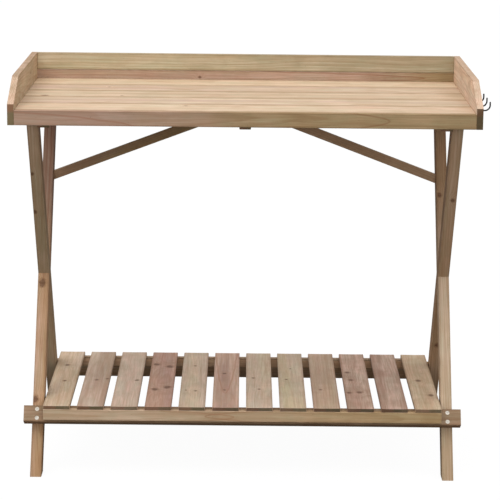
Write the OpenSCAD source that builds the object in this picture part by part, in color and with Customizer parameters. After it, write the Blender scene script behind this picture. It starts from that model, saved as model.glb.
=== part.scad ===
// Slatted-shelf potting bench: a walled work tray on two halved X-shaped leg frames,
// held apart by tilted shelf rails and two braces, with a drop-in slatted shelf and
// three tool hooks on the right-hand side board. Every solid is a separate timber,
// hook or screw. X runs to the right, Y to the back, Z up; the origin is on the floor
// under the middle of the bench's overall box, hooks included.

/* [Bench] */
// Overall width across the side boards
bench_width = 1100; // [800:5:1400]
// Overall depth, front to back
bench_depth = 580; // [450:5:700]
// Height of the top edge of the side and back boards
bench_height = 955; // [850:5:1050]
// Height of the working surface
worktop_height = 890; // [780:5:980]

/* [Tray] */
// Thickness of the side, back, front and worktop boards
board_thickness = 15; // [12:1:22]
// Number of long boards in the worktop
worktop_boards = 5; // [3:1:8]
// Gap between neighbouring worktop boards
worktop_gap = 0.6; // [0.2:0.1:4]
// How far the tray boards hang below the working surface
tray_skirt = 35; // [25:1:60]
// Height of the lower of the two back boards
lower_back_height = 57.5; // [40:0.5:75]
// Height of a side board at its front end
side_front_height = 49; // [36:1:90]
// Length of the slanted cut along a side board
side_cut_length = 117; // [0:1:200]

/* [Frame timber] */
// Thickness of the legs, rails and cross battens
frame_thickness = 27; // [18:1:38]
// Width of the legs and shelf rails
frame_width = 40; // [30:1:60]
// Lean of the legs from upright, in degrees
leg_lean = 30; // [20:0.5:38]
// Height where the two legs of one end cross
crossing_height = 444; // [380:1:520]
// Distance from the middle of the bench to the outer face of the legs
leg_outer = 509; // [400:1:530]
// Chamfer along the long edges of sawn timber
edge_ease = 1.2; // [0.4:0.1:3]

/* [Braces] */
// Side of the square brace section
brace_side = 22; // [16:1:30]
// Height of a brace centre line at the leg
brace_foot_height = 664; // [560:1:760]
// Height of a brace centre line at the middle batten
brace_head_height = 860; // [840:1:870]

/* [Shelf] */
// Height of the top of the shelf slats
shelf_height = 170; // [120:1:260]
// Number of slats
slat_count = 12; // [8:1:16]
// Width of one slat
slat_width = 64; // [40:1:80]
// Thickness of one slat
slat_thickness = 10; // [8:1:18]
// Width of the whole field of slats
slat_field = 958; // [700:1:960]
// Thickness of the strip under each end of the slats
strip_thickness = 15; // [12:1:22]
// Height of the strip under each end of the slats
strip_height = 27; // [18:1:36]
// Length of each shelf rail
rail_length = 1055; // [900:1:1120]
// Depth of the flat planed on the rail corner that carries the slats
rail_seat = 1; // [0.5:0.1:3]
// Gap between the shelf strip and the rail it hooks over
shelf_clearance = 0.5; // [0.3:0.1:3]

/* [Hooks] */
// Diameter of the hook wire
hook_wire = 3.5; // [2.5:0.1:5]
// Height of the hook shank
hook_height = 893; // [870:1:910]
// Distance from the front of the bench to the first hook
first_hook = 50; // [30:1:90]
// Distance between hooks
hook_pitch = 68; // [40:1:90]

/* [Hidden] */
$fn = 48;

half_width = bench_width / 2;
half_depth = bench_depth / 2;
inner_x = half_width - board_thickness;
inner_y = half_depth - board_thickness;
tray_bottom = worktop_height - tray_skirt;
board_underside = worktop_height - board_thickness;
batten_bottom = board_underside - frame_thickness;
batten_mid_z = board_underside - frame_thickness / 2;
leg_inner = leg_outer - frame_thickness;
leg_mid_x = leg_outer - frame_thickness / 2;
end_batten_x = leg_inner - frame_thickness / 2;
worktop_pitch = (2 * inner_y + worktop_gap) / worktop_boards;
side_front_top = tray_bottom + side_front_height;
joint_gap = 0.4;

// shelf rails and panel
slat_underside = shelf_height - slat_thickness;
rail_top_z = slat_underside + rail_seat;
rail_low = (rail_top_z - crossing_height - (frame_width / 2 + frame_thickness) * sin(leg_lean))
    / cos(leg_lean) - frame_width;
rail_top_y = -(frame_width / 2 + frame_thickness) * cos(leg_lean)
    + (rail_low + frame_width) * sin(leg_lean);
strip_inner_y = -rail_top_y + (rail_top_z - slat_underside + strip_height) * tan(leg_lean)
    + shelf_clearance;
strip_outer_y = strip_inner_y + strip_thickness;
strip_mid_y = (strip_inner_y + strip_outer_y) / 2;
slat_pitch = (slat_field - slat_width) / (slat_count - 1);

// braces
brace_foot_y = (brace_foot_height - crossing_height) * tan(leg_lean);
brace_run_x = leg_inner - frame_thickness / 2;
brace_plan = sqrt(brace_run_x * brace_run_x + brace_foot_y * brace_foot_y);
brace_turn = -atan2(brace_foot_y, brace_run_x);
brace_rise = atan2(brace_head_height - brace_foot_height, brace_plan);
brace_overrun = 60;

// fixings: [shank diameter, head diameter, length]
screw_tray = [4, 8, 40];
screw_batten = [4, 8, 37];
screw_back = [4, 8, 45];
screw_leg = [5, 9.5, 50];
screw_crossing = [4, 8, 24];
screw_rail = [5, 10, 58];
screw_brace_foot = [4, 8, 47];
screw_brace_head = [4, 8, 40.5];
screw_slat = [3.5, 7, 34.5];
screw_play = 0.1;
rail_screw_sink = 1.2;
brace_head_pocket = 42;
recess_width = 0.9;

// the hooks, and the shift that their reach gives the bench's overall box
hook_thread = 12;
hook_shank = 8.5;
hook_bend = 12;
hook_rise = 7;
hook_collar = [8, 1.5];
hook_reach = hook_shank + hook_bend + hook_wire / 2;

wood_pale = [0.84, 0.74, 0.60];
wood_tan = [0.74, 0.62, 0.47];
wood_brown = [0.62, 0.49, 0.37];
wood_olive = [0.63, 0.56, 0.40];
wood_pink = [0.73, 0.56, 0.46];
zinc = [0.80, 0.80, 0.78];
dark_steel = [0.20, 0.20, 0.21];

// ---- shared shapes ------------------------------------------------------------------

// rectangle with its four corners chamfered, from the origin
module eased_rectangle(width, height, ease = edge_ease) {
    polygon([
        [ease, 0], [width - ease, 0], [width, ease], [width, height - ease],
        [width - ease, height], [ease, height], [0, height - ease], [0, ease]
    ]);
}

// timber along X, centred on X, its section starting at y = 0, z = 0
module timber_x(length, depth, height, ease = edge_ease) {
    rotate([90, 0, 90])
        linear_extrude(length, center = true) eased_rectangle(depth, height, ease);
}

// timber along Y, centred on X and on Y, its section starting at z = 0
module timber_y(length, width, height, ease = edge_ease) {
    rotate([90, 0, 0])
        linear_extrude(length, center = true)
            translate([-width / 2, 0]) eased_rectangle(width, height, ease);
}

// timber along Z, centred on all three axes, thin across X
module timber_z(length, thickness, width, ease = edge_ease) {
    linear_extrude(length, center = true)
        translate([-thickness / 2, -width / 2]) eased_rectangle(thickness, width, ease);
}

// countersunk screw pointing along +Z, its head flush at z = 0
module screw(size, recess = true) {
    head_depth = (size[1] - size[0]) / 2;
    difference() {
        union() {
            cylinder(h = head_depth, d1 = size[1], d2 = size[0]);
            translate([0, 0, head_depth / 2])
                cylinder(h = size[2] - head_depth / 2 - size[0] / 2, d = size[0]);
            translate([0, 0, size[2] - size[0] / 2])
                cylinder(h = size[0] / 2, d1 = size[0], d2 = size[0] / 4);
        }
        if (recess)
            for (turn = [0, 90])
                rotate([0, 0, turn])
                    translate([-size[1] * 0.3, -recess_width / 2, -1])
                        cube([size[1] * 0.6, recess_width, 1 + head_depth * 0.7]);
    }
}

// the hole that one such screw needs, with a recess of the given depth before it
module screw_hole(size, recess_depth = 1) {
    head_depth = (size[1] - size[0]) / 2;
    cylinder(h = head_depth + screw_play, d1 = size[1] + 2 * screw_play, d2 = size[0]);
    cylinder(h = size[2] + 1, d = size[0] + 2 * screw_play);
    translate([0, 0, -recess_depth])
        cylinder(h = recess_depth + 0.001, d = size[1] + 2 * screw_play);
}

// from the middle of the bench to the middle of its overall box
module in_frame() {
    translate([-hook_reach / 2, 0, 0]) children();
}

module both_ends() {
    children();
    mirror([1, 0, 0]) children();
}

// ---- where the screws sit -----------------------------------------------------------

// through one side board; side is -1 for left and 1 for right
module at_side_screws(side) {
    spots = concat(
        [[-inner_y - board_thickness / 2, tray_bottom + tray_skirt / 2]],
        [for (i = [0:worktop_boards - 1])
            [-inner_y + (i + 0.5) * worktop_pitch, worktop_height - board_thickness / 2]],
        [[inner_y + board_thickness / 2, tray_bottom + lower_back_height * 0.22],
         [inner_y + board_thickness / 2, tray_bottom + lower_back_height * 0.8],
         [inner_y + board_thickness / 2, (tray_bottom + lower_back_height + bench_height) / 2]]
    );
    for (spot = spots)
        translate([side * half_width, spot[0], spot[1]])
            rotate([0, -side * 90, 0]) children();
}

// from behind into the ends of the three cross battens
module at_back_screws() {
    for (x = [-end_batten_x, 0, end_batten_x])
        translate([x, half_depth, batten_mid_z]) rotate([90, 0, 0]) children();
}

// up through one cross batten, one per worktop board
module at_batten_screws(x) {
    for (i = [0:worktop_boards - 1])
        translate([x, -inner_y + (i + 0.5) * worktop_pitch, batten_bottom]) children();
}

// from the inside of an end batten into the two leg tops, left end
module at_leg_top_screws() {
    for (side = [-1, 1], shift = [[-8, 4], [8, -5]])
        translate([
            -leg_inner + frame_thickness,
            side * ((batten_mid_z - crossing_height) * tan(leg_lean) - shift[0]),
            batten_mid_z + shift[1]
        ]) rotate([0, -90, 0]) children();
}

// through the halved joint of the left legs, from outside
module at_crossing_screws() {
    for (shift = [-9, 9])
        translate([-leg_outer, 0, crossing_height + shift])
            rotate([0, 90, 0]) children();
}

// square through a shelf rail into a leg, left end of the front rail
module at_rail_screws() {
    in_leg_line()
        for (shift = [-11, 11])
            translate([
                -leg_mid_x,
                -frame_width / 2 - frame_thickness + rail_screw_sink,
                rail_low + frame_width / 2 + shift
            ]) rotate([-90, 0, 0]) children();
}

// through a left leg into the foot of the brace
module at_brace_foot_screw() {
    translate([-leg_outer, brace_foot_y - 2, brace_foot_height + 4])
        rotate([0, 90, 0]) children();
}

// through the head of the left brace into the middle batten
module at_brace_head_screw() {
    translate([-brace_head_pocket, 6, brace_head_height - 6])
        rotate([0, 90, 0]) children();
}

// up through the front strip into one slat
module at_slat_screw(index) {
    translate([slat_x(index), -strip_mid_y, slat_underside - strip_height]) children();
}

function slat_x(index) = (index - (slat_count + 1) / 2) * slat_pitch;

// ---- tray ---------------------------------------------------------------------------

module worktop_board(index, shade) {
    in_frame() color(shade)
    difference() {
        translate([0, -inner_y + (index - 1) * worktop_pitch, board_underside])
            timber_x(2 * inner_x, worktop_pitch - worktop_gap, board_thickness);
        for (side = [-1, 1])
            translate([
                side * half_width,
                -inner_y + (index - 0.5) * worktop_pitch,
                worktop_height - board_thickness / 2
            ]) rotate([0, -side * 90, 0]) screw_hole(screw_tray);
        for (x = [-end_batten_x, 0, end_batten_x])
            translate([x, -inner_y + (index - 0.5) * worktop_pitch, batten_bottom])
                screw_hole(screw_batten);
    }
}

module front_apron() {
    in_frame() color(wood_brown)
    difference() {
        translate([0, -half_depth, tray_bottom])
            timber_x(2 * inner_x, board_thickness, tray_skirt);
        for (side = [-1, 1]) at_side_screws(side) screw_hole(screw_tray);
    }
}

module back_board_lower() {
    in_frame() color(wood_pink)
    difference() {
        translate([0, inner_y, tray_bottom])
            timber_x(2 * inner_x, board_thickness, lower_back_height);
        for (side = [-1, 1]) at_side_screws(side) screw_hole(screw_tray);
        at_back_screws() screw_hole(screw_back);
    }
}

module back_board_upper() {
    low = tray_bottom + lower_back_height + joint_gap;
    in_frame() color(wood_olive)
    difference() {
        translate([0, inner_y, low])
            timber_x(2 * inner_x, board_thickness, bench_height - low);
        for (side = [-1, 1]) at_side_screws(side) screw_hole(screw_tray);
    }
}

module side_board(side) {
    outline = [
        [-half_depth, tray_bottom], [half_depth, tray_bottom], [half_depth, bench_height],
        [-half_depth + side_cut_length, bench_height], [-half_depth, side_front_top]
    ];
    in_frame() color(wood_pink)
    difference() {
        translate([side * (half_width - board_thickness / 2), 0, 0])
            rotate([90, 0, 90])
                linear_extrude(board_thickness, center = true) polygon(outline);
        at_side_screws(side) screw_hole(screw_tray);
        if (side > 0)
            for (i = [0:2]) at_hook(i) hook_hole();
    }
}

module side_board_left() { side_board(-1); }
module side_board_right() { side_board(1); }

module cross_batten(x) {
    in_frame() color(wood_brown)
    difference() {
        translate([x, 0, batten_bottom])
            timber_y(2 * inner_y, frame_thickness, frame_thickness);
        at_batten_screws(x) screw_hole(screw_batten);
        at_back_screws() screw_hole(screw_back);
        if (x < 0) at_leg_top_screws() screw_hole(screw_leg);
        if (x > 0) mirror([1, 0, 0]) at_leg_top_screws() screw_hole(screw_leg);
        if (x == 0) both_ends() at_brace_head_screw() screw_hole(screw_brace_head);
    }
}

module end_batten_left() { cross_batten(-end_batten_x); }
module centre_batten() { cross_batten(0); }
module end_batten_right() { cross_batten(end_batten_x); }

// ---- leg frames ---------------------------------------------------------------------

// the frame of reference of leg B: z runs up the leg from the crossing, y is square to it
module in_leg_line() {
    translate([0, 0, crossing_height]) rotate([-leg_lean, 0, 0]) children();
}

// one leg of the left end, before its joint and holes are cut; lean is 1 or -1
module leg_blank(lean) {
    reach = 1.4 * crossing_height / cos(leg_lean);
    intersection() {
        translate([-leg_mid_x, 0, crossing_height])
            rotate([lean * leg_lean, 0, 0])
                timber_z(2 * reach, frame_thickness, frame_width);
        translate([-half_width, -bench_depth, 0])
            cube([half_width, 2 * bench_depth, board_underside]);
    }
}

// the half of the other leg's thickness that is cut away; outer is 1 or 0
module halving(lean, outer) {
    translate([-leg_mid_x - (outer == 1 ? frame_thickness : 0), 0, crossing_height])
        rotate([lean * leg_lean, 0, 0])
            translate([0, -frame_width / 2, -frame_width * 1.5])
                cube([frame_thickness, frame_width, frame_width * 3]);
}

// leg A runs from the front of the tray down to the back of the floor
module leg_a() {
    difference() {
        leg_blank(1);
        halving(-1, 1);
        at_leg_top_screws() screw_hole(screw_leg);
        at_crossing_screws() screw_hole(screw_crossing);
        mirror([0, 1, 0]) at_rail_screws() screw_hole(screw_rail);
    }
}

// leg B runs from the back of the tray down to the front of the floor
module leg_b() {
    difference() {
        leg_blank(-1);
        halving(1, 0);
        at_leg_top_screws() screw_hole(screw_leg);
        at_crossing_screws() screw_hole(screw_crossing);
        at_rail_screws() screw_hole(screw_rail);
        at_brace_foot_screw() screw_hole(screw_brace_foot);
    }
}

module leg_left_a() { in_frame() color(wood_olive) leg_a(); }
module leg_left_b() { in_frame() color(wood_pink) leg_b(); }
module leg_right_a() { in_frame() color(wood_brown) mirror([1, 0, 0]) leg_a(); }
module leg_right_b() { in_frame() color(wood_tan) mirror([1, 0, 0]) leg_b(); }

// ---- shelf rails and braces ---------------------------------------------------------

module shelf_rail() {
    difference() {
        in_leg_line()
            translate([0, -frame_width / 2 - frame_thickness, rail_low])
                timber_x(rail_length, frame_thickness, frame_width);
        translate([-rail_length, rail_top_y - frame_width, slat_underside])
            cube([2 * rail_length, 2 * frame_width, frame_width]);
        both_ends() at_rail_screws() screw_hole(screw_rail, rail_screw_sink + 1);
    }
}

module shelf_rail_front() { in_frame() color(wood_brown) shelf_rail(); }
module shelf_rail_back() { in_frame() color(wood_brown) mirror([0, 1, 0]) shelf_rail(); }

module brace() {
    difference() {
        intersection() {
            translate([-leg_inner, brace_foot_y, brace_foot_height])
                rotate([0, -brace_rise, brace_turn])
                    translate([brace_plan / 2, -brace_side / 2, -brace_side / 2])
                        timber_x(brace_plan + 4 * brace_overrun, brace_side, brace_side);
            translate([-leg_inner, -half_depth, 0])
                cube([brace_run_x, bench_depth, bench_height]);
        }
        at_brace_foot_screw() screw_hole(screw_brace_foot);
        at_brace_head_screw() screw_hole(screw_brace_head, frame_width);
    }
}

module brace_left() { in_frame() color(wood_tan) brace(); }
module brace_right() { in_frame() color(wood_tan) mirror([1, 0, 0]) brace(); }

// ---- slatted shelf ------------------------------------------------------------------

module shelf_strip() {
    difference() {
        translate([0, -strip_outer_y, slat_underside - strip_height])
            timber_x(slat_field, strip_thickness, strip_height);
        for (i = [1:slat_count]) at_slat_screw(i) screw_hole(screw_slat);
    }
}

module shelf_strip_front() { in_frame() color(wood_tan) shelf_strip(); }
module shelf_strip_back() { in_frame() color(wood_tan) mirror([0, 1, 0]) shelf_strip(); }

module slat(index, shade) {
    in_frame() color(shade)
    difference() {
        translate([slat_x(index), 0, slat_underside])
            timber_y(2 * strip_outer_y, slat_width, slat_thickness);
        at_slat_screw(index) screw_hole(screw_slat);
        mirror([0, 1, 0]) at_slat_screw(index) screw_hole(screw_slat);
    }
}

module slat_01() { slat(1, wood_tan); }
module slat_02() { slat(2, wood_pink); }
module slat_03() { slat(3, wood_pale); }
module slat_04() { slat(4, wood_brown); }
module slat_05() { slat(5, wood_pale); }
module slat_06() { slat(6, wood_brown); }
module slat_07() { slat(7, wood_pale); }
module slat_08() { slat(8, wood_pale); }
module slat_09() { slat(9, wood_pink); }
module slat_10() { slat(10, wood_tan); }
module slat_11() { slat(11, wood_pink); }
module slat_12() { slat(12, wood_tan); }

module worktop_board_1() { worktop_board(1, wood_pale); }
module worktop_board_2() { worktop_board(2, wood_pale); }
module worktop_board_3() { worktop_board(3, wood_tan); }
module worktop_board_4() { worktop_board(4, wood_tan); }
module worktop_board_5() { worktop_board(5, wood_pale); }

// ---- tool hooks ---------------------------------------------------------------------

module at_hook(index) {
    translate([half_width, -half_depth + first_hook + index * hook_pitch, hook_height])
        children();
}

module hook_hole() {
    translate([-hook_thread - 0.5, 0, 0])
        rotate([0, 90, 0]) cylinder(h = hook_thread + 1, d = hook_wire + 2 * screw_play);
}

module hook() {
    translate([-hook_thread, 0, 0])
        rotate([0, 90, 0]) cylinder(h = hook_thread + hook_shank, d = hook_wire);
    rotate([0, 90, 0]) cylinder(h = hook_collar[1], d = hook_collar[0]);
    translate([hook_shank, 0, hook_bend])
        rotate([90, 0, 0]) rotate([0, 0, -90])
            rotate_extrude(angle = 90) translate([hook_bend, 0]) circle(d = hook_wire);
    translate([hook_shank + hook_bend, 0, hook_bend]) {
        cylinder(h = hook_rise, d = hook_wire);
        translate([0, 0, hook_rise]) sphere(d = hook_wire);
    }
}

module hook_front() { in_frame() color(dark_steel) at_hook(0) hook(); }
module hook_middle() { in_frame() color(dark_steel) at_hook(1) hook(); }
module hook_back() { in_frame() color(dark_steel) at_hook(2) hook(); }

// ---- screws -------------------------------------------------------------------------

module side_screws() {
    in_frame() color(zinc) for (side = [-1, 1]) at_side_screws(side) screw(screw_tray);
}

module back_screws() {
    in_frame() color(zinc) at_back_screws() screw(screw_back);
}

module worktop_screws() {
    in_frame() color(zinc)
        for (x = [-end_batten_x, 0, end_batten_x]) at_batten_screws(x) screw(screw_batten);
}

module leg_top_screws() {
    in_frame() color(zinc) both_ends() at_leg_top_screws() screw(screw_leg);
}

module crossing_screws() {
    in_frame() color(zinc) both_ends() at_crossing_screws() screw(screw_crossing);
}

module rail_screws() {
    in_frame() color(zinc)
        for (back = [0, 1]) mirror([0, back, 0]) both_ends() at_rail_screws() screw(screw_rail);
}

module brace_foot_screws() {
    in_frame() color(zinc) both_ends() at_brace_foot_screw() screw(screw_brace_foot);
}

module brace_head_screws() {
    in_frame() color(zinc) both_ends() at_brace_head_screw() screw(screw_brace_head);
}

module slat_screws() {
    in_frame() color(zinc)
        for (back = [0, 1], i = [1:slat_count])
            mirror([0, back, 0]) at_slat_screw(i) screw(screw_slat);
}

// ---- drawing ------------------------------------------------------------------------

worktop_board_1();
worktop_board_2();
worktop_board_3();
worktop_board_4();
worktop_board_5();
front_apron();
back_board_lower();
back_board_upper();
side_board_left();
side_board_right();
end_batten_left();
centre_batten();
end_batten_right();
leg_left_a();
leg_left_b();
leg_right_a();
leg_right_b();
shelf_rail_front();
shelf_rail_back();
brace_left();
brace_right();
shelf_strip_front();
shelf_strip_back();
slat_01();
slat_02();
slat_03();
slat_04();
slat_05();
slat_06();
slat_07();
slat_08();
slat_09();
slat_10();
slat_11();
slat_12();
hook_front();
hook_middle();
hook_back();
side_screws();
back_screws();
worktop_screws();
leg_top_screws();
crossing_screws();
rail_screws();
brace_foot_screws();
brace_head_screws();
slat_screws();
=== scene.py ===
"""Potting bench in planed softwood: a walled tray on crossed legs, with a slatted shelf."""

import math
from collections import namedtuple

import bpy
import numpy as np
from bpy.props import FloatProperty, FloatVectorProperty, PointerProperty
from mathutils import Matrix, Vector


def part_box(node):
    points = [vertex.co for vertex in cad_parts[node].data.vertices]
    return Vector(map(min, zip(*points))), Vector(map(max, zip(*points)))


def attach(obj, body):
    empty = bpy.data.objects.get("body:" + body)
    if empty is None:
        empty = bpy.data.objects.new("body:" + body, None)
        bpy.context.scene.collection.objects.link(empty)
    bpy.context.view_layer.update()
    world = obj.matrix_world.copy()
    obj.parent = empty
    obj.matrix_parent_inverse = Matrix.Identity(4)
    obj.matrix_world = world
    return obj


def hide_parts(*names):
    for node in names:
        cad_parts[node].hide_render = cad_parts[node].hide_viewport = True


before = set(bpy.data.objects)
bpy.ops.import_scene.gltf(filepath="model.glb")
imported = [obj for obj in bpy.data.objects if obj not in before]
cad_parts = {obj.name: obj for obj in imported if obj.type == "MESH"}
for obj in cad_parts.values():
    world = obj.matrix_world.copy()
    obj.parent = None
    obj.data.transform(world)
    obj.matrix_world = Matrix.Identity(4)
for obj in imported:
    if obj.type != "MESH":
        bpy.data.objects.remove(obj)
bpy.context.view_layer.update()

bl_info = {
    "name": "Potting bench",
    "version": (1, 0, 0),
    "blender": (4, 5, 0),
    "location": "3D View > Sidebar > Bench",
    "description": "Timber, fixings and studio for a softwood potting bench",
    "category": "Object",
}

LEAN = math.radians(30)
LEG_WIDTH, FRAME_DEPTH, BRACE_WIDTH = 0.027, 0.040, 0.022
WORKTOP = [f"worktop_board_{i}" for i in range(1, 6)]
SLATS = [f"slat_{i:02d}" for i in range(1, 13)]
SCREWS = [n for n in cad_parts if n.endswith("_screws")]
HOOKS = ["hook_front", "hook_middle", "hook_back"]


def linear(red, green, blue):
    """A colour given as 0 to 255 on a screen, as the linear numbers that Blender keeps."""
    c = np.array([red, green, blue]) / 255
    return tuple(np.where(c <= 0.04045, c / 12.92, ((c + 0.055) / 1.055) ** 2.4))


# ---- settings -----------------------------------------------------------------------

def tone(name, description, *rgb):
    """A colour setting, its default given as 0 to 255 on a screen."""
    return FloatVectorProperty(name=name, description=description, subtype="COLOR",
                               size=3, min=0, max=1, default=linear(*rgb))


class BenchTones(bpy.types.PropertyGroup):
    cream: tone("Cream", "Palest planed softwood, as in the worktop", 226, 205, 178)
    blush: tone("Blush", "Pale wood with a pink cast", 222, 193, 170)
    straw: tone("Straw", "Pale yellow-brown wood", 216, 194, 168)
    olive: tone("Olive", "Wood turned olive by its treatment", 208, 191, 157)
    grey_beige: tone("Grey beige", "Pale wood greyed by its treatment", 212, 192, 174)
    rose: tone("Rose", "Pinkish tan wood", 209, 181, 164)
    tan: tone("Tan", "Light brown wood", 200, 174, 147)
    brown: tone("Brown", "Mid brown wood", 188, 155, 122)
    honey: tone("Honey", "Yellow-brown wood", 192, 168, 130)
    willow: tone("Willow", "Pale wood with a green cast", 214, 204, 176)
    umber: tone("Umber", "Darker reddish brown wood", 178, 146, 129)
    heart: tone("Heart", "Purplish brown streak of the heart", 164, 131, 120)
    knot: tone("Knot", "Middle of a knot", 96, 62, 42)
    end_grain: tone("End grain", "Sawn ends of the boards", 138, 112, 86)


class BenchTimber(bpy.types.PropertyGroup):
    arris: FloatProperty(name="Arris radius", description="Round along the edges of a board",
                         default=0.0014, min=0.0003, max=0.004, subtype="DISTANCE", unit="LENGTH")
    cup: FloatProperty(name="Cup", description="How far a board face is hollowed across its width",
                       default=0.0003, min=0, max=0.0015, subtype="DISTANCE", unit="LENGTH")
    ring: FloatProperty(name="Ring spacing", description="Thickness of one year of growth",
                        default=0.0042, min=0.001, max=0.012, subtype="DISTANCE", unit="LENGTH")
    ring_depth: FloatProperty(name="Ring strength", description="How dark the late wood is",
                              default=0.38, min=0, max=1, subtype="FACTOR")
    relief: FloatProperty(name="Grain relief", description="Depth of the raised grain",
                          default=0.0005, min=0, max=0.002, subtype="DISTANCE", unit="LENGTH")
    soil: FloatProperty(name="Edge soiling", description="How dark the long edges and joints are",
                        default=0.55, min=0, max=1, subtype="FACTOR")
    # lightens the arrises: partly worn pale, partly a painted highlight
    wear_and_highlight: FloatProperty(name="Arris wear", description="How much the edges are rubbed pale",
                        default=0.45, min=0, max=1, subtype="FACTOR")


class BenchFixings(bpy.types.PropertyGroup):
    zinc: tone("Zinc", "Plated screws", 228, 221, 208)
    steel: tone("Hook steel", "Blackened steel of the tool hooks", 38, 38, 41)
    zinc_roughness: FloatProperty(name="Zinc roughness", description="Gloss of the screws",
                                  default=0.34, min=0.05, max=1, subtype="FACTOR")


class BenchStage(bpy.types.PropertyGroup):
    floor: tone("Floor", "Plain floor", 250, 250, 250)
    sky: FloatProperty(name="Sky", description="Brightness of the soft dome overhead",
                       default=1.30, min=0, max=5)
    horizon: FloatProperty(name="Horizon", description="Brightness of the dome at eye level",
                           default=0.40, min=0, max=5)
    key: FloatProperty(name="Key light", description="Power of the soft light, upper left",
                       default=38, min=0, max=1000, unit="POWER")
    fill: FloatProperty(name="Fill light", description="Power of the soft light from the front",
                        default=30, min=0, max=1000, unit="POWER")
    lens: FloatProperty(name="Lens", description="Focal length", default=150.65, min=20, max=400,
                        subtype="DISTANCE_CAMERA")
    stand: FloatVectorProperty(name="Camera place", description="Where the camera stands",
                               default=(-0.0129, -5.0759, 1.6099), size=3,
                               subtype="TRANSLATION", unit="LENGTH")
    pitch: FloatProperty(name="Pitch", description="How far the camera looks down",
                         default=math.radians(12.31), unit="ROTATION")
    yaw: FloatProperty(name="Yaw", description="How far the camera looks to the right",
                       default=math.radians(0.19), unit="ROTATION")
    roll: FloatProperty(name="Roll", description="How far the camera leans to its left",
                        default=math.radians(0.6), unit="ROTATION")


# ---- boards: where each lies, its tone and its knots ---------------------------------

# along and across are unit vectors: the way the grain runs, and across the face that knots
# and arches are placed on, which is the wide face except on the legs and braces
Lie = namedtuple("Lie", "along across")
LONG_FLAT = Lie((1, 0, 0), (0, 1, 0))
LONG_UPRIGHT = Lie((1, 0, 0), (0, 0, 1))
DEEP_FLAT = Lie((0, 1, 0), (-1, 0, 0))
DEEP_UPRIGHT = Lie((0, 1, 0), (0, 0, 1))
LEG_A = Lie((0, -math.sin(LEAN), math.cos(LEAN)), (1, 0, 0))
LEG_B = Lie((0, math.sin(LEAN), math.cos(LEAN)), (1, 0, 0))
RAIL_FRONT = Lie((1, 0, 0), (0, math.sin(LEAN), math.cos(LEAN)))
RAIL_BACK = Lie((1, 0, 0), (0, math.sin(LEAN), -math.cos(LEAN)))
BRACE_TURN, BRACE_RISE = math.radians(15.17), math.radians(21.99)
BRACE_LEFT = Lie((math.cos(BRACE_RISE) * math.cos(BRACE_TURN),
                  -math.cos(BRACE_RISE) * math.sin(BRACE_TURN), math.sin(BRACE_RISE)),
                 (math.sin(BRACE_TURN), math.cos(BRACE_TURN), 0))
BRACE_RIGHT = Lie((math.cos(BRACE_RISE) * math.cos(BRACE_TURN),
                   math.cos(BRACE_RISE) * math.sin(BRACE_TURN), -math.sin(BRACE_RISE)),
                  (-math.sin(BRACE_TURN), math.cos(BRACE_TURN), 0))
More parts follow.
